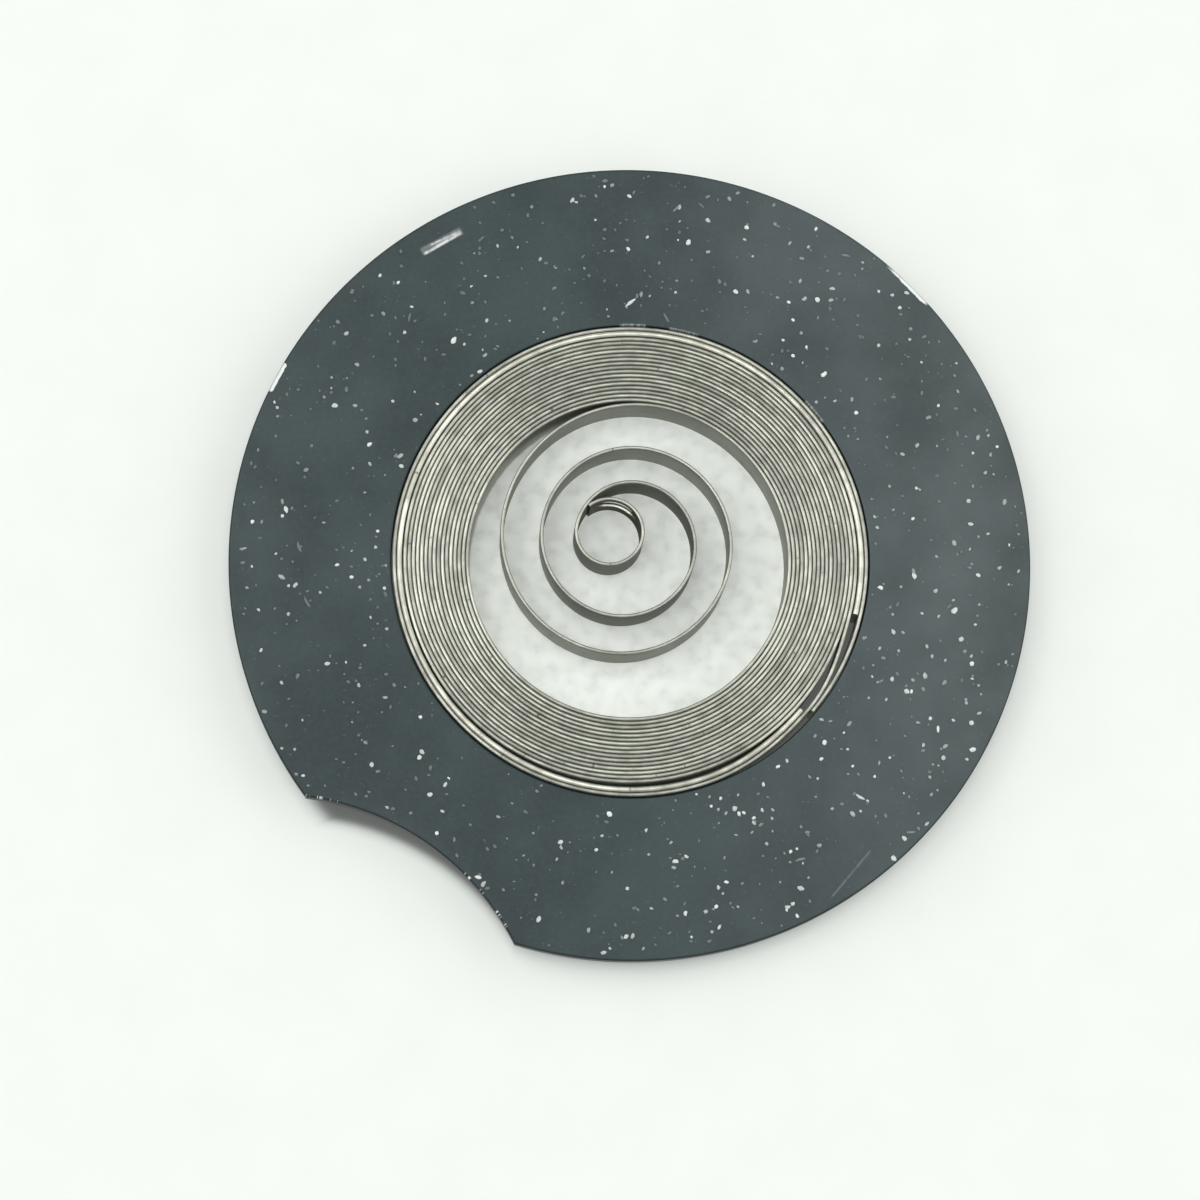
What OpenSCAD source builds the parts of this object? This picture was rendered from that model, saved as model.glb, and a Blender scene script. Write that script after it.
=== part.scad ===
// Mainspring of a self-winding watch, held wound in its retaining ring.
// Millimetres, +Z up. The origin is on the ring's axis, level with the lower edge of the spring.
// The ribbon's outermost turn is round, then tucks in under its own tip and steps in past the bridle.
// From there to the eye the ribbon is a chain of arcs. Each arc starts where the one before it ends, in
// the same direction, and the arcs meet at whole quarter turns from the seam direction.

/* [Ring] */
// Outer diameter of the ring
ring_od = 17.8; // [16:0.1:20]
// Diameter of the bore that holds the spring wound
bore_d = 10.6; // [10:0.1:11.6]
// Thickness of the ring's sheet
ring_t = 0.45; // [0.3:0.05:0.8]
// Width of the small chamfer along the ring's edges
edge_chamfer = 0.05; // [0.02:0.01:0.1]
// Radius of the scallop in the rim
scallop_r = 6; // [4:0.5:8]
// Depth of the scallop, measured inwards from the rim
scallop_depth = 1.15; // [0.6:0.05:1.6]
// Direction of the scallop from the axis, in degrees from +X
scallop_angle = 235; // [0:5:355]
// Height by which the spring stands above the ring's top face
spring_proud = 0.05; // [0:0.05:0.3]

/* [Ribbon] */
// Thickness of the ribbon
ribbon_t = 0.08; // [0.06:0.002:0.1]
// Height of the ribbon on edge
ribbon_h = 1.3; // [1.1:0.05:1.7]
// Gap between one packed turn and the next
turn_gap = 0.012; // [0.01:0.002:0.02]
// Gap between the ribbon's outermost turn and the ring's bore
bore_gap = 0.02; // [0.01:0.005:0.05]
// Seam direction, where the outermost turn passes into the pack, in degrees from +X
seam_angle = -15; // [-180:5:180]
// Sweep by which the outer tip passes the seam, in degrees
tip_sweep = 25; // [10:1:40]
// Sweep over which the outermost turn tucks in under its own tip, in degrees
tuck_sweep = 32; // [20:1:40]
// Half turns in the pack
pack_half_turns = 32; // [24:2:36]

/* [Bridle] */
// Thickness of the bridle strip
bridle_t = 0.125; // [0.09:0.005:0.2]
// Gap between the bridle and the pack, where the bridle starts
bridle_gap = 0.02; // [0.012:0.002:0.04]
// Sweep before the seam over which the ribbon steps in past the bridle's two ends, in degrees
step_sweep = 25; // [20:1:40]
// Sweep left free between each end of the bridle and the step, in degrees
bridle_end_gap = 1.5; // [1:0.5:5]

/* [Loose turns] */
// Quarter turns between the pack and the eye
loose_quarters = 9; // [8:1:10]
// Drop in bend radius where the ribbon leaves the pack
leave_drop = 0.53; // [0.3:0.01:0.6]
// Bend radius where the ribbon runs into the eye
last_bend_r = 1.26; // [1.1:0.01:1.4]
// How the bend tightens: 1 is an even rate, and less tightens early
bend_ease = 0.84; // [0.7:0.02:1]

/* [Eye] */
// Inner diameter of the eye, which grips the arbor
eye_d = 1.4; // [1.2:0.02:1.5]
// Sweep of the eye from its start to the inner tip, in degrees
eye_sweep = 323; // [300:1:326]
// Length of the hook slot along the ribbon
slot_l = 1; // [0.7:0.05:1.05]
// Height of the hook slot
slot_h = 0.56; // [0.4:0.02:0.6]
// Strip of ribbon left above the slot
slot_top_wall = 0.19; // [0.1:0.01:0.4]
// Sweep from the slot's middle to the inner tip, in degrees
slot_back_sweep = 57; // [54:1:70]

/* [Hidden] */
$fn = 96;
ring_r = ring_od / 2;
bore_r = bore_d / 2;
ring_z = ribbon_h - spring_proud - ring_t;
scallop_reach = ring_r - scallop_depth + scallop_r;
// Length by which a cutting shape passes the face that it cuts
cut_over = 0.02;

// Lengths along the chain are whole multiples of this, so that the ends of its arcs meet exactly
grain = 0.0001;
function snap(length) = round(length / grain) * grain;

strip_t = snap(ribbon_t);
half_pitch = snap((ribbon_t + turn_gap) / 2);
tuck_in = 2 * half_pitch;
step_in = snap(bridle_t + bridle_gap);
outer_r = snap(bore_r - bore_gap - ribbon_t / 2);
pack_r = outer_r - tuck_in - step_in;
pack_end_r = pack_r - pack_half_turns * half_pitch;
first_bend_r = pack_end_r - leave_drop;
eye_r = eye_d / 2;

// The outermost turn is round up to its last quarter, in which it tucks in and then steps in.
round_sweep = 270;
step_start = 90 - step_sweep;
tuck_start = 90 - tip_sweep - tuck_sweep;
// Number of flat steps in which that quarter is drawn
quarter_facets = 60;

// Each bend is [radius of the middle line, sweep in degrees].
pack_bends = [
    for (i = [0 : pack_half_turns])
        [pack_r - i * half_pitch, i < pack_half_turns ? 180 : 90]
];
loose_bends = [
    for (i = [0 : loose_quarters - 1])
        let (run = pow(i / (loose_quarters - 1), bend_ease))
        [snap(first_bend_r + (last_bend_r - first_bend_r) * run), 90]
];
eye_bend = [snap(eye_r + ribbon_t / 2), eye_sweep];
inner_bends = concat(pack_bends, loose_bends, [eye_bend]);

// The bridle follows the outermost turn on its inside, from one side of the step round to the other.
bridle_inset = snap((ribbon_t + bridle_t) / 2 + turn_gap);

function heading(angle) = [cos(angle), sin(angle)];

// Centre, start angle, radius and sweep of every arc in a chain of bends.
function arc_chain(bends, at = 0, centre = [0, 0], i = 0) =
    i == len(bends) ? [] :
    let (
        radius = bends[i][0],
        end = at + bends[i][1],
        next_radius = i + 1 < len(bends) ? bends[i + 1][0] : radius,
        next_centre = centre + (radius - next_radius) * heading(end)
    )
    concat([[centre, at, radius, bends[i][1]]], arc_chain(bends, end, next_centre, i + 1));

inner_arcs = arc_chain(inner_bends);
eye_arc = inner_arcs[len(inner_arcs) - 1];
eye_centre = eye_arc[0];
slot_angle = eye_arc[1] + eye_sweep - slot_back_sweep;
slot_z = ribbon_h - slot_top_wall - slot_h / 2;

module strip_arc(arc, thickness) {
    translate(arc[0])
        rotate(arc[1])
            rotate_extrude(angle = arc[3])
                translate([arc[2] - thickness / 2, 0])
                    square([thickness, ribbon_h]);
}

function ease(run) =
    let (share = min(max(run, 0), 1))
    share * share * (3 - 2 * share);

// Radius of the outermost turn's middle line at an angle from the start of its last quarter.
function last_r(angle) =
    outer_r
    - tuck_in * ease((angle - tuck_start) / tuck_sweep)
    - step_in * ease((angle - step_start) / step_sweep);

// Strip along the last quarter of the outermost turn, set in from the turn's middle line.
module last_quarter(sweep, inset, thickness) {
    angles = [for (i = [0 : quarter_facets]) i * sweep / quarter_facets];
    back_angles = [for (i = [0 : quarter_facets]) angles[quarter_facets - i]];
    outside = [for (a = angles) (last_r(a) - inset + thickness / 2) * heading(a)];
    inside = [for (a = back_angles) (last_r(a) - inset - thickness / 2) * heading(a)];
    rotate(-90)
        linear_extrude(height = ribbon_h)
            polygon(concat(outside, inside));
}

// Oblong with round ends, cut through the wall of the eye and no further.
module hook_slot() {
    straight = slot_l - slot_h;
    reach = eye_r + ribbon_t + cut_over;
    translate([eye_centre.x, eye_centre.y, slot_z])
        rotate(slot_angle)
            intersection() {
                translate([0, 0, -slot_h])
                    cylinder(r = reach, h = 2 * slot_h);
                translate([eye_r / 2, 0, 0]) {
                    for (side = [-1, 1])
                        translate([0, side * straight / 2, 0])
                            rotate([0, 90, 0])
                                cylinder(d = slot_h, h = reach);
                    translate([0, -straight / 2, -slot_h / 2])
                        cube([reach, straight, slot_h]);
                }
            }
}

module mainspring_ribbon() {
    color("#9a9a92")
        rotate(seam_angle)
            difference() {
                union() {
                    strip_arc([[0, 0], 0, outer_r, -tip_sweep], strip_t);
                    strip_arc([[0, 0], 0, outer_r, round_sweep], strip_t);
                    last_quarter(90, 0, strip_t);
                    for (arc = inner_arcs)
                        strip_arc(arc, strip_t);
                }
                hook_slot();
            }
}

module slip_bridle() {
    color("#b9b9b0")
        rotate(seam_angle) {
            strip_arc([[0, 0], round_sweep, outer_r - bridle_inset, bridle_end_gap - round_sweep], bridle_t);
            last_quarter(step_start - bridle_end_gap, bridle_inset, bridle_t);
        }
}

module ring_blank() {
    rotate_extrude()
        polygon([
            [bore_r + edge_chamfer, 0],
            [ring_r - edge_chamfer, 0],
            [ring_r, edge_chamfer],
            [ring_r, ring_t - edge_chamfer],
            [ring_r - edge_chamfer, ring_t],
            [bore_r + edge_chamfer, ring_t],
            [bore_r, ring_t - edge_chamfer],
            [bore_r, edge_chamfer]
        ]);
}

// Round cutter for the rim, flared so that the scallop's edges are chamfered like the rest.
module scallop() {
    flare = scallop_r + edge_chamfer + cut_over;
    translate(scallop_reach * heading(scallop_angle))
        rotate_extrude()
            polygon([
                [0, -cut_over],
                [flare, -cut_over],
                [scallop_r, edge_chamfer],
                [scallop_r, ring_t - edge_chamfer],
                [flare, ring_t + cut_over],
                [0, ring_t + cut_over]
            ]);
}

module retaining_ring() {
    color("#495457")
        translate([0, 0, ring_z])
            difference() {
                ring_blank();
                scallop();
            }
}

mainspring_ribbon();
slip_bridle();
retaining_ring();
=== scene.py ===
import math
import random

import bmesh
import bpy
import numpy as np
from mathutils import Matrix, Vector


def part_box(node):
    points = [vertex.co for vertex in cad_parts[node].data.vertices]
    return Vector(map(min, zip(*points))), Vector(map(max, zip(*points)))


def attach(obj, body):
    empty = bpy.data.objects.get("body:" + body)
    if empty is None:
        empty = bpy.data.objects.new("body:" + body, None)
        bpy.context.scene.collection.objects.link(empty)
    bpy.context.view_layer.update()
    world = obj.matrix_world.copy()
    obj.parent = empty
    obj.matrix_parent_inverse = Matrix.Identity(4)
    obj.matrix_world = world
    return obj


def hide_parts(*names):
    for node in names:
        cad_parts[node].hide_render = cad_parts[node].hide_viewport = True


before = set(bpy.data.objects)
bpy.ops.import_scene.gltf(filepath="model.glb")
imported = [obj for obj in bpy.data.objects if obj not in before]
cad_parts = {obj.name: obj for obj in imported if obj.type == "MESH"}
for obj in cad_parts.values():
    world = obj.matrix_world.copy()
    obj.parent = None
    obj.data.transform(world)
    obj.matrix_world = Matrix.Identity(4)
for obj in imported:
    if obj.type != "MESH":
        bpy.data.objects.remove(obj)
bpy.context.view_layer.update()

# Sizes are in millimetres, and meshes are written in metres
MM = 0.001
TURN = 2 * math.pi
HALF = math.pi
QUARTER = math.pi / 2

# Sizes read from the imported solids
RIBBON_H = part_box("mainspring_ribbon")[1].z / MM
RING_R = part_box("retaining_ring")[1].x / MM
RING_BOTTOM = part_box("retaining_ring")[0].z / MM
RING_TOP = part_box("retaining_ring")[1].z / MM

# Sizes of the ring that are repeated from the part's source
BORE_R = 5.3
RING_EDGE = 0.05
SCALLOP_R = 6.0
SCALLOP_DEPTH = 1.15
SCALLOP_ANGLE = math.radians(235)
SCALLOP_REACH = RING_R - SCALLOP_DEPTH + SCALLOP_R

# Sizes of the ribbon and the bridle that are repeated from the part's source
RIBBON_T = 0.08
TURN_GAP = 0.012
BORE_GAP = 0.02
SEAM_ANGLE = math.radians(-15)
TIP_SWEEP = math.radians(25)
TUCK_SWEEP = math.radians(32)
PACK_HALF_TURNS = 32
BRIDLE_T = 0.125
BRIDLE_GAP = 0.02
STEP_SWEEP = math.radians(25)
BRIDLE_END_GAP = math.radians(1.5)
LOOSE_QUARTERS = 9
LEAVE_DROP = 0.53
LAST_BEND_R = 1.26
BEND_EASE = 0.84
EYE_R = 0.7
EYE_SWEEP = math.radians(323)
SLOT_L = 1.0
SLOT_H = 0.56
SLOT_TOP_WALL = 0.19
SLOT_BACK_SWEEP = math.radians(57)

# Radii along the ribbon that follow from those sizes
HALF_PITCH = (RIBBON_T + TURN_GAP) / 2
TUCK_IN = 2 * HALF_PITCH
STEP_IN = BRIDLE_T + BRIDLE_GAP
OUTER_R = BORE_R - BORE_GAP - RIBBON_T / 2
PACK_R = OUTER_R - TUCK_IN - STEP_IN
PACK_END_R = PACK_R - PACK_HALF_TURNS * HALF_PITCH
FIRST_BEND_R = PACK_END_R - LEAVE_DROP
EYE_LINE_R = EYE_R + RIBBON_T / 2
BRIDLE_INSET = (RIBBON_T + BRIDLE_T) / 2 + TURN_GAP
SLOT_Z = RIBBON_H - SLOT_TOP_WALL - SLOT_H / 2

# How finely the strips are drawn
ARC_STEP = math.radians(3)
FINE_STEP = math.radians(1.5)
CORNER_STEPS = 4
FACE_ROWS = 4
SUPPORT = 0.006
MARK_HALF = 0.02
SMOOTH_ANGLE = math.radians(38)

# Radius of a strip's edges, as a share of its thickness
EDGE_SHARE = 0.45

# Waver of the strips' top edges: seed, number of waves, radians per millimetre and depths
STRIP_SEED = 19
WAVES = 7
WAVE_RATES = (0.15, 1.6)
RIBBON_WAVER = 0.016
BRIDLE_WAVER = 0.01


def heading(angle):
    return np.array([math.cos(angle), math.sin(angle)])


def arc_chain(bends):
    """Centre, start, radius and sweep of each bend, where each goes on from the end of the one before."""
    centre = np.zeros(2)
    angle = 0.0
    arcs = []
    next_radii = [radius for radius, _ in bends[1:]] + [bends[-1][0]]
    for (radius, sweep), next_radius in zip(bends, next_radii):
        arcs.append((centre, angle, radius, sweep))
        angle += sweep
        centre = centre + (radius - next_radius) * heading(angle)
    return arcs


def arc_points(arc, step, closed=False):
    """Points along an arc, without its last one unless it is closed."""
    centre, start, radius, sweep = arc
    count = round(abs(sweep) / step)
    return [centre + radius * heading(start + sweep * i / count) for i in range(count + closed)]


def ease(share):
    share = min(max(share, 0.0), 1.0)
    return share * share * (3 - 2 * share)


def last_quarter(sweep, inset=0.0, closed=False):
    """Points along the last quarter of the outermost turn, set in from its middle line.

    The turn tucks in under its own tip there, and then steps in past the bridle's ends."""
    count = round(sweep / FINE_STEP)
    points = []
    for i in range(count + closed):
        angle = sweep * i / count
        tucked = TUCK_IN * ease(1 - (QUARTER - TIP_SWEEP - angle) / TUCK_SWEEP)
        stepped = STEP_IN * ease(1 - (QUARTER - angle) / STEP_SWEEP)
        points.append((OUTER_R - tucked - stepped - inset) * heading(angle - QUARTER))
    return points


def turned(points):
    """Points turned from the seam's own direction to where the seam is."""
    c, s = heading(SEAM_ANGLE)
    return np.array(points) @ np.array([[c, s], [-s, c]])


def ribbon_bends():
    """Radius and sweep of each bend from the pack to the inner tip."""
    pack = [(PACK_R - i * HALF_PITCH, HALF) for i in range(PACK_HALF_TURNS)]
    pack.append((PACK_R - PACK_HALF_TURNS * HALF_PITCH, QUARTER))
    tighten = LAST_BEND_R - FIRST_BEND_R
    shares = [(i / (LOOSE_QUARTERS - 1)) ** BEND_EASE for i in range(LOOSE_QUARTERS)]
    loose = [(FIRST_BEND_R + tighten * share, QUARTER) for share in shares]
    return pack + loose + [(EYE_LINE_R, EYE_SWEEP)]


def ribbon_line():
    """Middle line of the ribbon from the outer tip to the inner one, and how many points the eye has."""
    outermost = (np.zeros(2), -TIP_SWEEP, OUTER_R, TIP_SWEEP + 3 * QUARTER)
    inner = arc_chain(ribbon_bends())
    points = arc_points(outermost, ARC_STEP) + last_quarter(QUARTER)
    for arc in inner[:-1]:
        points += arc_points(arc, ARC_STEP)
    eye = arc_points(inner[-1], FINE_STEP, closed=True)
    return turned(points + eye), len(eye)


def bridle_line():
    """Middle line of the bridle, which follows the outermost turn on its inside."""
    round_part = (np.zeros(2), BRIDLE_END_GAP, OUTER_R - BRIDLE_INSET, 3 * QUARTER - BRIDLE_END_GAP)
    end_part = last_quarter(QUARTER - STEP_SWEEP - BRIDLE_END_GAP, BRIDLE_INSET, closed=True)
    return turned(arc_points(round_part, FINE_STEP) + end_part)


def line_normals(line):
    """Unit normals that point away from the coil's middle."""
    tangents = np.vstack([line[1:], line[-1:]]) - np.vstack([line[:1], line[:-1]])
    tangents /= np.linalg.norm(tangents, axis=1)[:, None]
    return np.column_stack([tangents[:, 1], -tangents[:, 0]])


def line_run(line):
    """Length along the line at each of its points."""
    return np.concatenate([[0.0], np.cumsum(np.linalg.norm(np.diff(line, axis=0), axis=1))])


def slot_openings(count, eye_count):
    """Half the height of the hook slot at each point of the ribbon, and 0 where there is none."""
    openings = np.zeros(count)
    straight = (SLOT_L - SLOT_H) / 2
    for i in range(eye_count):
        angle = EYE_SWEEP * (i / (eye_count - 1) - 1) + SLOT_BACK_SWEEP
        past = abs(EYE_LINE_R * math.sin(angle)) - straight
        if abs(angle) < QUARTER and past < SLOT_H / 2:
            openings[count - eye_count + i] = math.sqrt((SLOT_H / 2) ** 2 - max(past, 0.0) ** 2)
    return openings


def edge_drops(run, chance, depth):
    """How far the strip's top edge lies below its full height, which wavers along the strip."""
    waves = [(chance.uniform(*WAVE_RATES), chance.uniform(0, TURN)) for _ in range(WAVES)]
    level = sum(np.sin(run * rate + phase) for rate, phase in waves) / WAVES
    return depth * np.clip(0.5 + level, 0, 1)


def strip_section(thickness, top, low_mark, high_mark):
    """Section of a strip with round edges, as offsets along the normal and heights.

    The two marks are heights on both faces between which the hook slot can open."""
    radius = thickness * EDGE_SHARE
    inset = thickness / 2 - radius
    low, high = radius, top - radius

    def corner(offset, height, start):
        angles = [start + QUARTER * i / CORNER_STEPS for i in range(CORNER_STEPS + 1)]
        return [(offset + radius * math.cos(a), height + radius * math.sin(a)) for a in angles]

    heights = [low + SUPPORT, low_mark, high_mark, high - SUPPORT]
    outer_face = [(thickness / 2, height) for height in heights]
    inner_face = [(-thickness / 2, height) for height in reversed(heights)]
    lower_outer = corner(inset, low, -QUARTER)
    upper = corner(inset, high, 0.0) + corner(-inset, high, QUARTER)
    return lower_outer + outer_face + upper + inner_face + corner(-inset, low, HALF)


# Places in the section where the slot's edges are, on the outer and the inner face
OUTER_LOW = CORNER_STEPS + 2
OUTER_HIGH = OUTER_LOW + 1
INNER_HIGH = OUTER_LOW + 2 * (CORNER_STEPS + 1) + FACE_ROWS
INNER_LOW = INNER_HIGH + 1


def strip_faces(count, size, is_open):
    """Faces of a strip of that many sections, with closed ends and with walls where the slot is open."""

    def at(i, j):
        return i * size + j % size

    faces = [tuple(range(size)), tuple(at(count - 1, j) for j in reversed(range(size)))]
    for i in range(count - 1):
        slotted = is_open[i] and is_open[i + 1]
        for j in range(size):
            if not (slotted and j in (OUTER_LOW, INNER_HIGH)):
                faces.append((at(i, j), at(i + 1, j), at(i + 1, j + 1), at(i, j + 1)))
        if slotted:
            for first, second in ((OUTER_LOW, INNER_LOW), (INNER_HIGH, OUTER_HIGH)):
                faces.append((at(i, first), at(i + 1, first), at(i + 1, second), at(i, second)))
        if is_open[i] != is_open[i + 1]:
            end = i + 1 if is_open[i + 1] else i
            faces.append(tuple(at(end, j) for j in (OUTER_LOW, OUTER_HIGH, INNER_HIGH, INNER_LOW)))
    return faces


def make_piece(name, vertices, faces, material, slot, replaced=None, **attributes):
    """Piece of the object from points in millimetres, with one value per point for each attribute."""
    mesh = bpy.data.meshes.new(name)
    mesh.from_pydata((np.array(vertices) * MM).tolist(), [], faces)
    shape = bmesh.new()
    shape.from_mesh(mesh)
    bmesh.ops.recalc_face_normals(shape, faces=shape.faces)
    shape.to_mesh(mesh)
    shape.free()
    mesh.shade_smooth()
    mesh.set_sharp_from_angle(angle=SMOOTH_ANGLE)
    for key, values in attributes.items():
        layer = mesh.attributes.new(key, "FLOAT", "POINT")
        layer.data.foreach_set("value", np.array(values, np.float32))
    mesh.materials.append(material)
    piece = bpy.data.objects.new(name, mesh)
    bpy.context.scene.collection.objects.link(piece)
    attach(piece, "root")
    if replaced:
        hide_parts(replaced)
    return piece


def swept_strip(name, line, thickness, drops, openings, material, slot, replaced):
    """Strip on edge along a line, with its lower edge on the floor.

    Its points know how far along the strip they are, and how far out across it, from -1 to 1."""
    normals = line_normals(line)
    vertices, across = [], []
    for point, normal, drop, opening in zip(line, normals, drops, openings):
        mark = max(opening, MARK_HALF)
        section = strip_section(thickness, RIBBON_H - drop, SLOT_Z - mark, SLOT_Z + mark)
        for offset, height in section:
            vertices.append((*(point + offset * normal), height))
            across.append(2 * offset / thickness)
    size = len(vertices) // len(line)
    faces = strip_faces(len(line), size, openings > MARK_HALF)
    run = np.repeat(line_run(line), size)
    return make_piece(name, vertices, faces, material, slot, replaced, run=run, across=across)


class Paint:
    """One procedural material on a Principled shader, with positions in millimetres."""

    def __init__(self, name):
        self.material = bpy.data.materials.new(name)
        self.material.use_nodes = True
        self.tree = self.material.node_tree
        self.shader = self.tree.nodes["Principled BSDF"]

    def node(self, kind, **settings):
        node = self.tree.nodes.new(kind)
        for key, value in settings.items():
            setattr(node, key, value)
        return node

    def put(self, socket, value):
        """Links a socket to another one, or sets its value."""
        if isinstance(value, bpy.types.NodeSocket):
            self.tree.links.new(value, socket)
        else:
            socket.default_value = value

    def finish(self, **inputs):
        """Sets the shader's inputs, named with _ for spaces, and returns the material."""
        for key, value in inputs.items():
            self.put(self.shader.inputs[key.replace("_", " ")], value)
        return self.material

    def math(self, operation, first, second=0.0):
        node = self.node("ShaderNodeMath", operation=operation)
        self.put(node.inputs[0], first)
        self.put(node.inputs[1], second)
        return node.outputs[0]

    def span(self, value, low, high, to_low=0.0, to_high=1.0):
        """Value taken smoothly from one range to another, and held at the ends."""
        node = self.node("ShaderNodeMapRange", interpolation_type="SMOOTHSTEP")
        for socket, item in zip(node.inputs, (value, low, high, to_low, to_high)):
            self.put(socket, item)
        return node.outputs[0]

    def mix(self, share, first, second):
        """Colour between two linear colours."""
        node = self.node("ShaderNodeMix", data_type="RGBA")
        self.put(node.inputs["Factor"], share)
        for key, value in (("A", first), ("B", second)):
            socket = next(s for s in node.inputs if s.name == key and s.type == "RGBA")
            self.put(socket, (*value, 1.0) if isinstance(value, tuple) else value)
        return next(s for s in node.outputs if s.type == "RGBA")

    def noise(self, vector, scale, detail=2.0):
        node = self.node("ShaderNodeTexNoise")
        self.put(node.inputs["Vector"], vector)
        self.put(node.inputs["Scale"], scale)
        self.put(node.inputs["Detail"], detail)
        return node.outputs["Fac"]

    def attribute(self, name):
        return self.node("ShaderNodeAttribute", attribute_name=name).outputs["Fac"]

    def position(self):
        scaled = self.node("ShaderNodeVectorMath", operation="SCALE")
        self.put(scaled.inputs[0], self.node("ShaderNodeTexCoord").outputs["Object"])
        self.put(scaled.inputs["Scale"], 1 / MM)
        return scaled.outputs[0]

    def radius(self, vector, centre=(0.0, 0.0)):
        """Distance from the ring's axis, or from a line along it through another centre."""
        x, y, _ = self.split(vector)
        node = self.node("ShaderNodeVectorMath", operation="DISTANCE")
        self.put(node.inputs[0], self.join(x, y))
        self.put(node.inputs[1], (*centre, 0.0))
        return node.outputs["Value"]

    def split(self, vector):
        node = self.node("ShaderNodeSeparateXYZ")
        self.put(node.inputs[0], vector)
        return node.outputs

    def join(self, x, y, z=0.0):
        node = self.node("ShaderNodeCombineXYZ")
        for socket, value in zip(node.inputs, (x, y, z)):
            self.put(socket, value)
        return node.outputs[0]

    def upward(self):
        """How far the surface faces straight up or down, from 0 to 1."""
        normal = self.node("ShaderNodeNewGeometry").outputs["Normal"]
        return self.math("ABSOLUTE", self.split(normal)[2])

    def bump(self, height, strength, distance):
        node = self.node("ShaderNodeBump")
        self.put(node.inputs["Strength"], strength)
        self.put(node.inputs["Distance"], distance * MM)
        self.put(node.inputs["Height"], height)
        return node.outputs[0]


def shade(colour, factor):
    return tuple(part * factor for part in colour)


# Colours of the strips' edges and faces, and of the dirt on them; the dirt's colour is also painted shade
# on the outer half of the slot's lower lip
RIBBON_EDGE = (0.52, 0.53, 0.462)
RIBBON_FACE = (0.62, 0.63, 0.56)
BRIDLE_EDGE = (0.72, 0.72, 0.63)
BRIDLE_FACE = (0.5, 0.51, 0.46)
DIRT_AND_SHADE_COLOUR = (0.05, 0.046, 0.038)
# Radii between which the painted shade on the faces of the loose turns goes from dark to lighter
INNER_ZONE = (1.0, 2.4)
# Lengths inside and outside the pack's inner radius over which the loose turns' look passes into the pack's
LOOSE_FADE_IN = 0.02
LOOSE_FADE_OUT = 0.1
# Tint of low-angle reflections on the loose turns, painted shade that dims them: on inner and outer faces
# near the axis, and further out
INNER_SHADE_TINTS = ((0.2, 0.2, 0.19), (0.6, 0.6, 0.6))
LOOSE_SHADE_TINT = (0.74, 0.74, 0.74)
FULL_TINT = (1.0, 1.0, 1.0)


def steel(name, edge_colour, face_colour):
    """Rolled strip with round edges, rolling lines on its faces and a little dirt.

    The faces of the loose turns carry painted shade that makes them darker than the pack's. The slot's
    lower lip has a painted highlight on its inner half and painted shade on its outer one."""
    paint = Paint(name)
    position = paint.position()
    run = paint.attribute("run")
    across = paint.attribute("across")
    height = paint.split(position)[2]
    place = paint.join(run, height)
    drawn = paint.join(paint.math("MULTIPLY", run, 0.35), paint.math("MULTIPLY", height, 26.0))
    lines = paint.noise(drawn, 1.0, 3.0)
    patches = paint.noise(place, 0.5, 3.0)
    worn = paint.noise(place, 3.0, 2.0)
    radius = paint.radius(position)
    loose = paint.span(radius, PACK_END_R - LOOSE_FADE_IN, PACK_END_R + LOOSE_FADE_OUT, 1.0, 0.0)
    inner = paint.span(radius, *INNER_ZONE, 1.0, 0.0)
    level = paint.span(paint.math("ADD", patches, paint.math("MULTIPLY", worn, 0.7)), 0.6, 1.1)
    face = paint.mix(lines, shade(face_colour, 0.7), shade(face_colour, 1.3))
    outward = paint.span(across, -0.5, 0.5)
    # Painted shade on the loose turns' faces: darkest near the eye, most of all on their inner sides, and
    # lighter further out
    dark = paint.mix(outward, shade(face_colour, 0.26), shade(face_colour, 0.36))
    loose_painted_shade = paint.mix(lines, shade(face_colour, 0.36), shade(face_colour, 0.62))
    face = paint.mix(loose, face, paint.mix(inner, loose_painted_shade, dark))
    edge = paint.mix(level, shade(edge_colour, 0.66), shade(edge_colour, 1.2))
    edge = paint.mix(loose, edge, paint.mix(level, shade(edge_colour, 0.7), shade(edge_colour, 1.05)))
    low = paint.span(height, RIBBON_H - 2 * SLOT_TOP_WALL, RIBBON_H - SLOT_TOP_WALL, 1.0, 0.0)
    # Painted highlight and painted shade on the slot's lower lip: its inner half is lightened, its outer
    # half darkened
    lip = paint.mix(paint.span(across, -0.3, 0.3), shade(edge_colour, 1.6), DIRT_AND_SHADE_COLOUR)
    on_edge = paint.span(paint.upward(), 0.15, 0.5)
    base = paint.mix(on_edge, face, paint.mix(low, edge, lip))
    # Painted shade in the reflections: the tint dims low-angle reflections on the loose faces, most on the
    # inner faces near the eye
    tint = paint.mix(inner, LOOSE_SHADE_TINT, paint.mix(outward, *INNER_SHADE_TINTS))
    tint = paint.mix(paint.math("SUBTRACT", loose, on_edge), FULL_TINT, tint)
    grit = paint.span(paint.noise(place, 5.5, 2.0), 0.66, 0.74, 0.0, 0.75)
    return paint.finish(
        Base_Color=paint.mix(grit, base, DIRT_AND_SHADE_COLOUR),
        Metallic=1.0,
        Specular_Tint=tint,
        Roughness=paint.span(patches, 0.3, 0.7, 0.54, 0.42),
        Normal=paint.bump(lines, 0.25, 0.004),
    )


def corner_angles():
    """Half the scallop's width as seen from the ring's axis, and as seen from the scallop's own centre."""
    across = (RING_R**2 + SCALLOP_REACH**2 - SCALLOP_R**2) / (2 * RING_R * SCALLOP_REACH)
    from_axis = math.acos(across)
    return from_axis, math.asin(RING_R * math.sin(from_axis) / SCALLOP_R)


# How finely the ring's rim is drawn
RIM_STEP = math.radians(0.25)
RING_CORNER_STEPS = 4
RING_SUPPORT = 0.02


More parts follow.
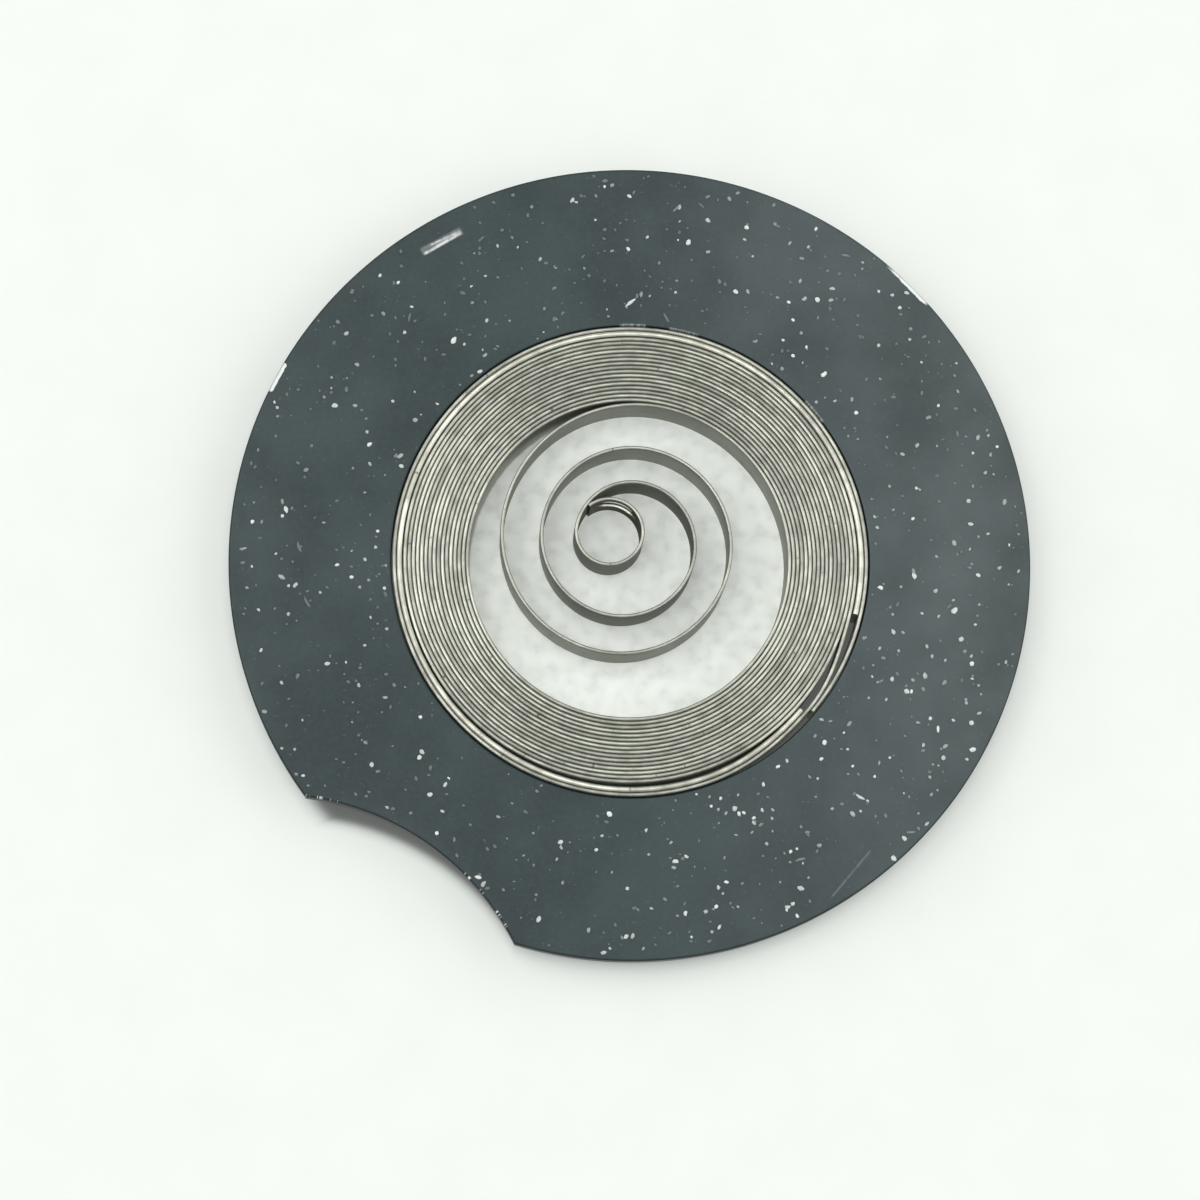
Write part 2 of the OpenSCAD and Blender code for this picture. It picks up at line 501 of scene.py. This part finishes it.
def rim_stations():
    """Points along the rim and then the scallop, with the directions that point out of the ring there.

    Where the two meet, the direction is longer, so that an inset edge follows both."""
    from_axis, from_centre = corner_angles()
    centre = SCALLOP_REACH * heading(SCALLOP_ANGLE)
    rim = (np.zeros(2), SCALLOP_ANGLE + from_axis, RING_R, TURN - 2 * from_axis)
    cut = (centre, SCALLOP_ANGLE + HALF + from_centre, SCALLOP_R, -2 * from_centre)
    rim_points = arc_points(rim, RIM_STEP)
    cut_points = arc_points(cut, RIM_STEP)
    points = np.array(rim_points + cut_points)
    normals = [point / RING_R for point in rim_points]
    normals += [(centre - point) / SCALLOP_R for point in cut_points]
    for corner in (0, len(rim_points)):
        along_rim = points[corner] / RING_R
        along_cut = (centre - points[corner]) / SCALLOP_R
        normals[corner] = (along_rim + along_cut) / (1 + along_rim @ along_cut)
    return points, np.array(normals), len(rim_points)


def window(angles, middle, width, taper):
    """1 within a stretch of the ring about an angle in degrees, with a fall to 0 at its ends."""
    away = np.abs((np.degrees(angles) - middle + 180) % 360 - 180)
    return np.clip((width / 2 - away) / taper, 0, 1)


# Stretches of the ring's edges where the coat is gone: middle, width and taper in degrees
RIM_CHIPS = ((152.6, 4.9, 0.35), (44.2, 6.8, 1.5), (47.6, 5.6, 4.2))
BORE_WEAR = ((89.5, 7.5, 0.8), (77.0, 8.5, 0.8), (39.5, 8.0, 1.0))
BEADED = ((217.0, 8.0, 1.0), (247.0, 10.0, 1.0))
# How bare the beads and the bore's edge are, at least and at most, and how common the beads are
BEAD_BARE = (0.25, 0.55)
BORE_BARE = (0.22, 0.34)
BEAD_CHANCE = 0.3
# How much a chip widens the rim's edge, how ragged it is, and how far up that edge the coat goes on
CHIP_GROWTH = 0.8
CHIP_RAGGED = (0.75, 1.0)
LAST_COAT = math.radians(30)
# Seed of the wear
RING_SEED = 41


def ring_rows(chip, bore_wear, bead):
    """Section of the ring at one station.

    Each row has its side, its inset from the rim or the bore, its height and how bare it is."""
    steps = [QUARTER * i / RING_CORNER_STEPS for i in range(RING_CORNER_STEPS + 1)]
    edge, top_edge = RING_EDGE, RING_EDGE * (1 + CHIP_GROWTH * chip)
    low, high = RING_BOTTOM, RING_TOP
    rows = [("rim", edge + RING_SUPPORT, low, 0)]
    rows += [("rim", edge * (1 - math.sin(a)), low + edge * (1 - math.cos(a)), 0) for a in steps]
    rows += [("rim", 0, low + edge + RING_SUPPORT, 0)]
    rows += [("rim", 0, high - top_edge - RING_SUPPORT, 0)]
    for a in steps:
        bare = max(chip, bead) if a > LAST_COAT else bead
        rows += [("rim", top_edge * (1 - math.cos(a)), high - top_edge * (1 - math.sin(a)), bare)]
    rows += [("rim", top_edge + RING_SUPPORT, high, 0)]
    rows += [("bore", edge + RING_SUPPORT, high, 0)]
    for a in steps:
        rows += [("bore", edge * (1 - math.sin(a)), high - edge * (1 - math.cos(a)), bore_wear)]
    rows += [("bore", 0, high - edge - RING_SUPPORT, 0)]
    rows += [("bore", 0, low + edge + RING_SUPPORT, 0)]
    rows += [("bore", edge * (1 - math.cos(a)), low + edge * (1 - math.sin(a)), 0) for a in steps]
    return rows + [("bore", edge + RING_SUPPORT, low, 0)]


def make_ring(material):
    """Flat ring with round edges, a chipped rim, a worn bore and beads of bare metal along the scallop."""
    chance = random.Random(RING_SEED)
    points, normals, rim_count = rim_stations()
    angles = np.arctan2(points[:, 1], points[:, 0])
    chips = np.max([window(angles, *chip) for chip in RIM_CHIPS], axis=0)
    wear = sum(window(angles, *stretch) for stretch in BORE_WEAR)
    on_scallop = np.arange(len(points)) >= rim_count
    bead_places = on_scallop * sum(window(angles, *stretch) for stretch in BEADED)
    vertices, bare = [], []
    for i, (point, normal, angle) in enumerate(zip(points, normals, angles)):
        chip = chips[i] * chance.uniform(*CHIP_RAGGED)
        bead = chance.uniform(*BEAD_BARE) * (chance.random() < BEAD_CHANCE * bead_places[i])
        bore_wear = min(wear[i], 1.0) * chance.uniform(*BORE_BARE)
        for edge, inset, height, share in ring_rows(chip, bore_wear, bead):
            place = point - inset * normal if edge == "rim" else (BORE_R + inset) * heading(angle)
            vertices.append((*place, height))
            bare.append(share)
    size = len(vertices) // len(points)
    faces = []
    for i in range(len(points)):
        here, there = i * size, (i + 1) % len(points) * size
        for j in range(size):
            after = (j + 1) % size
            faces.append((here + j, there + j, there + after, here + after))
    return make_piece("retaining_ring_visual", vertices, faces, material,
                      "coated_steel", "retaining_ring", bare=bare)


def mark_mask(paint, position, middle, angle, length, width):
    """1 on a straight mark on the ring's top face and 0 away from it. The angle is in degrees."""
    node = paint.node("ShaderNodeMapping", vector_type="TEXTURE")
    paint.put(node.inputs["Vector"], position)
    paint.put(node.inputs["Location"], (*middle, RING_TOP))
    paint.put(node.inputs["Rotation"], (0.0, 0.0, math.radians(angle)))
    along, across, depth = paint.split(node.outputs[0])
    inside = paint.span(paint.math("ABSOLUTE", along), length * 0.42, length * 0.5, 1.0, 0.0)
    beside = paint.span(paint.math("ABSOLUTE", across), width * 0.2, width * 0.5, 1.0, 0.0)
    near = paint.span(paint.math("ABSOLUTE", depth), 0.02, 0.05, 1.0, 0.0)
    return paint.math("MULTIPLY", paint.math("MULTIPLY", inside, beside), near)


COAT_COLOUR = (0.0305, 0.0485, 0.0495)
# Colour of the painted sheen on the right of the ring
SHEEN_COLOUR = (0.29, 0.31, 0.315)
SPECK_COLOUR = (0.3, 0.33, 0.32)
BARE_COLOUR = (0.86, 0.88, 0.85)
# Painted shade on the coat's round edges and walls: how dark it is there, compared with the flat faces
COAT_EDGE_SHADE = 0.25
# The painted sheen, which lightens the coat towards the right: its most, where it starts and is full from
# left to right, and how far that line leans
SHEEN_MOST = 0.33
SHEEN_RANGE = (-2.0, 9.0)
SHEEN_LEAN = 0.15
# Marks on the ring's top face: middle, direction in degrees, length, width and how bare they are
FACE_MARKS = (
    ((-4.225, 7.21), 29.5, 1.09, 0.24, 0.2),
    ((-4.2, 7.165), 31, 1.02, 0.09, 0.75),
    ((-4.14, 7.285), 26, 0.78, 0.07, 0.5),
    ((4.83, -6.98), 50, 1.45, 0.06, 0.1),
)


def slate_coat():
    """Matt slate coat with faint mottling, a painted sheen towards the right, painted shade on round edges
    and walls, scuffs and bare metal along worn edges.
    """
    paint = Paint("slate_coat")
    position = paint.position()
    cloud = paint.noise(position, 0.45, 4.0)
    grain = paint.noise(position, 9.0, 3.0)
    specks = paint.noise(position, 14.0, 1.0)
    base = paint.mix(paint.span(cloud, 0.3, 0.7), shade(COAT_COLOUR, 0.88), shade(COAT_COLOUR, 1.12))
    base = paint.mix(paint.span(grain, 0.35, 0.75, 0.0, 0.16), base, shade(COAT_COLOUR, 1.9))
    base = paint.mix(paint.span(specks, 0.74, 0.8, 0.0, 0.3), base, SPECK_COLOUR)
    x, y, _ = paint.split(position)
    # Painted sheen: the coat grows lighter towards the right, as if a light shone on it from there
    toward = paint.math("ADD", x, paint.math("MULTIPLY", y, SHEEN_LEAN))
    painted_sheen = paint.math("MULTIPLY", paint.span(toward, *SHEEN_RANGE, 0.0, SHEEN_MOST), cloud)
    base = paint.mix(painted_sheen, base, SHEEN_COLOUR)
    # Painted shade: the coat is darker where the surface turns away from straight up
    flat = paint.span(paint.upward(), 0.7, 0.99)
    base = paint.mix(flat, shade(COAT_COLOUR, COAT_EDGE_SHADE), base)
    for middle, angle, length, width, share in FACE_MARKS:
        mark = mark_mask(paint, position, middle, angle, length, width)
        worn = paint.span(paint.noise(position, 9.0, 3.0), 0.3, 0.55, 0.5 * share, share)
        base = paint.mix(paint.math("MULTIPLY", mark, worn), base, BARE_COLOUR)
    base = paint.mix(paint.span(paint.attribute("bare"), 0.15, 0.6), base, BARE_COLOUR)
    return paint.finish(
        Base_Color=base,
        Roughness=paint.span(cloud, 0.3, 0.7, 0.52, 0.4),
        Specular_IOR_Level=0.3,
        Normal=paint.bump(grain, 0.2, 0.01),
    )


# Dust on the ring's top face: number of grains, seed, usual width and greatest height
DUST_COUNT = 860
DUST_SEED = 7
DUST_SIZE = 0.064
DUST_TOP = 0.9 * (RIBBON_H - RING_TOP)
# Where most dust lies and how far it spreads from there, in degrees, and the share that lies elsewhere
DUSTIEST = 310
DUST_SPREAD = 40
DUST_LEAST = 0.7
# How few of the grains are bright
DIMNESS = 1.4
# Spread of the grains' widths and its limits, and how a grain's width grows with its brightness
WIDTH_SPREAD = 0.24
WIDTH_LIMITS = (0.6, 1.5)
DIM_WIDTH = 0.85
WIDTH_GAIN = 0.4
# How uneven and how bent the grains are
GRAIN_UNEVEN = (0.78, 1.12)
GRAIN_BEND = 0.25
# Lengths, height and lift of grains and fibres, as shares of their width
GRAIN_LENGTHS = (1.0, 1.75)
FIBRE_LENGTHS = (2.5, 4.5)
GRAIN_HEIGHT = 0.6
GRAIN_LIFT = 0.12
# Share of the grains that are fibres
FIBRE_CHANCE = 0.02
# Distance from the middle of a mark on the face that is kept clear of dust, as a share of the mark's length
MARK_CLEAR = 0.6


def dust_share(angle):
    """How much dust settles in a direction: most lies to the lower right."""
    away = (math.degrees(angle) - DUSTIEST + 180) % 360 - 180
    return DUST_LEAST + (1 - DUST_LEAST) * math.exp(-((away / DUST_SPREAD) ** 2))


def dust_places(chance):
    """Places of the grains, clear of the ring's edges and of the marks on its face."""
    centre = SCALLOP_REACH * heading(SCALLOP_ANGLE)
    clear = 2 * RING_EDGE
    places = []
    while len(places) < DUST_COUNT:
        angle = chance.uniform(0, TURN)
        radius = math.sqrt(chance.uniform((BORE_R + clear) ** 2, (RING_R - clear) ** 2))
        place = radius * heading(angle)
        off_scallop = np.linalg.norm(place - centre) > SCALLOP_R + clear
        off_marks = all(math.dist(place, mark[0]) > mark[2] * MARK_CLEAR for mark in FACE_MARKS)
        if off_scallop and off_marks and chance.random() < dust_share(angle):
            places.append(place)
    return places


def unit_ball():
    """Points and faces of a small ball."""
    shape = bmesh.new()
    bmesh.ops.create_icosphere(shape, subdivisions=2, radius=1.0)
    points = np.array([v.co for v in shape.verts])
    faces = [tuple(v.index for v in face.verts) for face in shape.faces]
    shape.free()
    return points, faces


def make_dust(material):
    """Grains of dust and a few short fibres that lie on the ring's top face."""
    chance = random.Random(DUST_SEED)
    ball, ball_faces = unit_ball()
    vertices, faces, pale = [], [], []
    for place in dust_places(chance):
        share = dust_share(math.atan2(place[1], place[0]))
        brightness = chance.random() ** (DIMNESS / share**3)
        spread = np.clip(chance.lognormvariate(0, WIDTH_SPREAD), *WIDTH_LIMITS)
        width = DUST_SIZE * spread * (DIM_WIDTH + WIDTH_GAIN * brightness)
        lengths = FIBRE_LENGTHS if chance.random() < FIBRE_CHANCE else GRAIN_LENGTHS
        length = width * chance.uniform(*lengths)
        c, s = heading(chance.uniform(0, TURN))
        uneven = np.array([chance.uniform(*GRAIN_UNEVEN) for _ in ball])[:, None]
        grain = ball * uneven * np.array([length, width, width * GRAIN_HEIGHT]) / 2
        grain[:, 1] += chance.uniform(-GRAIN_BEND, GRAIN_BEND) * grain[:, 0] ** 2 / length
        grain[:, 2] = np.clip(grain[:, 2] + width * GRAIN_LIFT, 0, DUST_TOP)
        flat = grain[:, :2] @ np.array([[c, s], [-s, c]]) + place
        first = len(vertices)
        vertices += [(*xy, RING_TOP + z) for xy, z in zip(flat, grain[:, 2])]
        faces += [tuple(first + k for k in face) for face in ball_faces]
        pale += [brightness] * len(ball)
    return make_piece("ring_dust", vertices, faces, material, "coated_steel", pale=pale)


DIM_DUST = (0.15, 0.18, 0.18)
BRIGHT_DUST = ((0.74, 0.77, 0.76), (0.94, 0.97, 0.95))


def dust():
    """Dust from dim to pale, as each grain's own brightness says."""
    paint = Paint("pale_dust")
    blotch = paint.noise(paint.position(), 20.0)
    bright = paint.mix(blotch, *BRIGHT_DUST)
    return paint.finish(
        Base_Color=paint.mix(paint.attribute("pale"), DIM_DUST, bright),
        Roughness=paint.span(blotch, 0.3, 0.7, 0.8, 0.95),
    )


# How far the painted shadow of the scallop's edge falls on the floor
SHADOW_FALL = np.array([0.3, -0.37])
# Colours of the card around the ring, inside the coil, where it is painted lighter, and of the painted
# shade where the ring and the pack cover it
CARD_COLOURS = ((0.5, 0.525, 0.5), (0.56, 0.58, 0.555))
COIL_LIGHTENED_COLOUR = (0.72, 0.75, 0.705)
PAINTED_SHADE_COLOUR = (0.045, 0.05, 0.05)
# Colour of the card's own glow, and its strength around the ring, inside the coil and where the ring and
# the pack cover it; the weak glow there is painted shade
GLOW_COLOUR = (0.95, 0.985, 0.945, 1.0)
CARD_GLOW = 0.4
COIL_GLOW = (0.25, 0.35)
SHADED_GLOW = 0.09
# Strength of the glow above which the card has its full colour, with no painted shade
FULL_COLOUR_GLOW = 0.3
# Lengths over which the glow and the painted shade change: at the coil, on both sides of the rim and of the
# scallop
COIL_FADE = 0.1
RIM_FADE_IN = 0.5
RIM_FADE_OUT = 0.3
SCALLOP_FADE = 0.25


def floor_card():
    """Pale card with a faint mottle.

    In view and in reflections it has a glow of its own, which is weak under the ring and the pack as
    painted shade, where the card's colour is painted dark too. The glow stops short of the scallop's edge
    as a painted shadow, and inside the coil the card is painted lighter."""
    paint = Paint("pale_card")
    position = paint.position()
    radius = paint.radius(position)
    blotch = paint.noise(position, 0.6, 4.0)
    mottle = paint.span(paint.noise(position, 3.2, 5.0), 0.3, 0.7, *COIL_GLOW)
    # Painted shade: the glow fades out under the pack
    in_coil = paint.span(radius, PACK_END_R, PACK_END_R + COIL_FADE, 1.0, 0.0)
    inside = paint.math("MULTIPLY", mottle, in_coil)
    # Painted shade: the glow fades out under the ring's rim and a little beyond it
    beside = paint.span(radius, RING_R - RIM_FADE_IN, RING_R + RIM_FADE_OUT, 0.0, CARD_GLOW)
    # Painted shadow of the scallop's edge: the glow in the scallop is moved off the edge, so it fades short
    # of it, most at its upper left
    cut_radius = paint.radius(position, SCALLOP_REACH * heading(SCALLOP_ANGLE) + SHADOW_FALL)
    in_scallop = paint.span(cut_radius, SCALLOP_R - SCALLOP_FADE, SCALLOP_R + SCALLOP_FADE, CARD_GLOW, 0.0)
    glow = paint.math("MAXIMUM", inside, paint.math("MAXIMUM", beside, in_scallop))
    # Painted light: the card inside the coil is given a lighter colour, which lifts it where the coil's
    # walls shade it
    pale = paint.mix(in_coil, paint.mix(blotch, *CARD_COLOURS), COIL_LIGHTENED_COLOUR)
    # Painted shade: the card's colour goes dark where its glow is weak
    painted_shade = paint.span(glow, 0.0, FULL_COLOUR_GLOW, 0.9, 0.0)
    path = paint.node("ShaderNodeLightPath").outputs
    seen = paint.math("MAXIMUM", path["Is Camera Ray"], path["Is Glossy Ray"])
    seen = paint.math("MAXIMUM", seen, path["Is Transmission Ray"])
    return paint.finish(
        Base_Color=paint.mix(painted_shade, pale, PAINTED_SHADE_COLOUR),
        Roughness=0.9,
        Emission_Color=GLOW_COLOUR,
        Emission_Strength=paint.math("MULTIPLY", seen, paint.math("MAXIMUM", glow, SHADED_GLOW)),
    )


FLOOR_HALF = 400.0


def make_floor():
    mesh = bpy.data.meshes.new("floor")
    half = FLOOR_HALF * MM
    corners = [(-half, -half, 0.0), (half, -half, 0.0), (half, half, 0.0), (-half, half, 0.0)]
    mesh.from_pydata(corners, [], [(0, 1, 2, 3)])
    mesh.materials.append(floor_card())
    floor = bpy.data.objects.new("floor", mesh)
    bpy.context.scene.collection.objects.link(floor)


def aim(item, target):
    item.rotation_euler = (Vector(target) - item.location).to_track_quat("-Z", "Y").to_euler()


def area_light(name, place, size, watts):
    """Soft square light that points at the ring's middle. The place and size are in millimetres."""
    light = bpy.data.lights.new(name, "AREA")
    light.size = size * MM
    light.energy = watts
    item = bpy.data.objects.new(name, light)
    item.location = Vector(place) * MM
    aim(item, (0.0, 0.0, RING_TOP * MM))
    bpy.context.scene.collection.objects.link(item)


# Soft lights: name, place, size and watts, with places and sizes in millimetres
LIGHTS = (
    ("overhead", (-68, 28, 260), 160, 0.25),
    ("left", (-190, 25, 150), 260, 0.145),
    ("right", (170, 15, 140), 220, 0.19),
)
WORLD_COLOUR = (0.97, 1.0, 0.98, 1.0)
WORLD_STRENGTH = 0.45


def light_scene():
    world = bpy.data.worlds.new("studio")
    world.use_nodes = True
    background = world.node_tree.nodes["Background"]
    background.inputs["Color"].default_value = WORLD_COLOUR
    background.inputs["Strength"].default_value = WORLD_STRENGTH
    bpy.context.scene.world = world
    for light in LIGHTS:
        area_light(*light)


# Camera: where the coil's middle is in the picture, and from where the camera looks at it
PICTURE = 1200
MIDDLE_X = 630.7
MIDDLE_Y = 559.4
PIXELS_PER_MM = 45.12
AZIMUTH = math.radians(-12)
TILT = math.radians(9.3)
DISTANCE = 100.0
SENSOR = 36.0
CLIP_START = 1.0


def make_camera():
    """Camera above the ring, a little below and to the left of its middle, with +Y up in the picture."""
    camera = bpy.data.cameras.new("camera")
    camera.sensor_width = SENSOR
    camera.lens = SENSOR * DISTANCE * PIXELS_PER_MM / PICTURE
    camera.clip_start = CLIP_START * MM
    lean = math.sin(TILT)
    back = Vector((math.sin(AZIMUTH) * lean, -math.cos(AZIMUTH) * lean, math.cos(TILT)))
    right = Vector((0.0, 1.0, 0.0)).cross(back).normalized()
    up = back.cross(right)
    aside = (PICTURE / 2 - MIDDLE_X) / PIXELS_PER_MM
    below = (MIDDLE_Y - PICTURE / 2) / PIXELS_PER_MM
    item = bpy.data.objects.new("camera", camera)
    item.location = (Vector((0.0, 0.0, RIBBON_H)) + right * aside + up * below + back * DISTANCE) * MM
    item.rotation_euler = Matrix((right, up, back)).transposed().to_euler()
    bpy.context.scene.collection.objects.link(item)
    bpy.context.scene.camera = item


def make_spring():
    chance = random.Random(STRIP_SEED)
    ribbon, eye_count = ribbon_line()
    openings = slot_openings(len(ribbon), eye_count)
    drops = edge_drops(line_run(ribbon), chance, RIBBON_WAVER)
    ribbon_steel = steel("ribbon_steel", RIBBON_EDGE, RIBBON_FACE)
    swept_strip("mainspring_ribbon_visual", ribbon, RIBBON_T, drops, openings,
                ribbon_steel, "spring_steel", "mainspring_ribbon")
    bridle = bridle_line()
    drops = edge_drops(line_run(bridle), chance, BRIDLE_WAVER)
    bridle_steel = steel("bridle_steel", BRIDLE_EDGE, BRIDLE_FACE)
    swept_strip("slip_bridle_visual", bridle, BRIDLE_T, drops, np.zeros(len(bridle)),
                bridle_steel, "bridle_steel", "slip_bridle")


make_spring()
make_ring(slate_coat())
make_dust(dust())
make_floor()
light_scene()
make_camera()
bpy.context.scene.view_settings.view_transform = "Standard"
